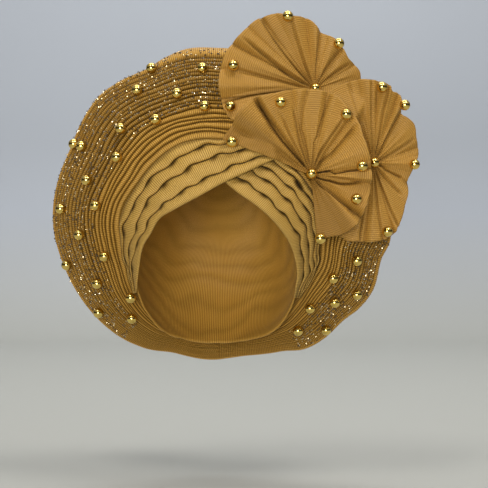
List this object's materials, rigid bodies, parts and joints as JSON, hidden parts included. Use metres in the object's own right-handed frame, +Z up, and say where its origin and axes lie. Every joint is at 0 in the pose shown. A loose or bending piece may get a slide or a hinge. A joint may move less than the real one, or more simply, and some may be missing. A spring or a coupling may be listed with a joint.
{
  "type": "tied gele head tie",
  "caption": "Ribbed gold cloth head tie: head cap, crossed pleated brow bands, wide fan of concentric pleats and pleated rosettes sewn with round beads.",
  "frame": {"origin": "crown of the wearer's head, where the cap rests on it", "axes": "+Z up along the neck to the crown, -Y the way the face looks, +X the wearer's left"},
  "size_m": [0.3386, 0.1813, 0.3218],
  "materials": {
    "band_cloth": "ribbed satin weave with a soft sheen",
    "fan_cloth": "ribbed satin weave with a soft sheen, sprinkled with small stones",
    "rosette_cloth": "ribbed satin weave with a soft sheen",
    "gold_bead": "polished"
  },
  "bodies": {
    "root": {"band_left": "band_cloth", "band_right": "band_cloth", "cap": "fan_cloth", "fan": "fan_cloth", "fan_bead_01": "gold_bead", "fan_bead_02": "gold_bead", "fan_bead_03": "gold_bead", "fan_bead_04": "gold_bead", "fan_bead_05": "gold_bead", "fan_bead_06": "gold_bead", "fan_bead_07": "gold_bead", "fan_bead_08": "gold_bead", "fan_bead_09": "gold_bead", "fan_bead_10": "gold_bead", "fan_bead_11": "gold_bead", "fan_bead_12": "gold_bead", "fan_bead_13": "gold_bead", "fan_bead_14": "gold_bead", "fan_bead_15": "gold_bead", "fan_bead_16": "gold_bead", "fan_bead_17": "gold_bead", "fan_bead_18": "gold_bead", "fan_bead_19": "gold_bead", "fan_bead_20": "gold_bead", "fan_bead_21": "gold_bead", "fan_bead_22": "gold_bead", "fan_bead_23": "gold_bead", "fan_bead_24": "gold_bead", "fan_bead_25": "gold_bead", "fan_bead_26": "gold_bead", "fan_bead_27": "gold_bead", "front_bead_01": "gold_bead", "front_bead_02": "gold_bead", "front_bead_03": "gold_bead", "front_bead_04": "gold_bead", "front_bead_05": "gold_bead", "front_bead_06": "gold_bead", "front_bead_07": "gold_bead", "right_bead_01": "gold_bead", "right_bead_02": "gold_bead", "right_bead_03": "gold_bead", "right_bead_04": "gold_bead", "right_bead_05": "gold_bead", "rosette_front": "rosette_cloth", "rosette_right": "rosette_cloth", "rosette_upper": "rosette_cloth", "upper_bead_01": "gold_bead", "upper_bead_02": "gold_bead", "upper_bead_03": "gold_bead", "upper_bead_04": "gold_bead", "upper_bead_05": "gold_bead"}
  },
  "joints": []
}
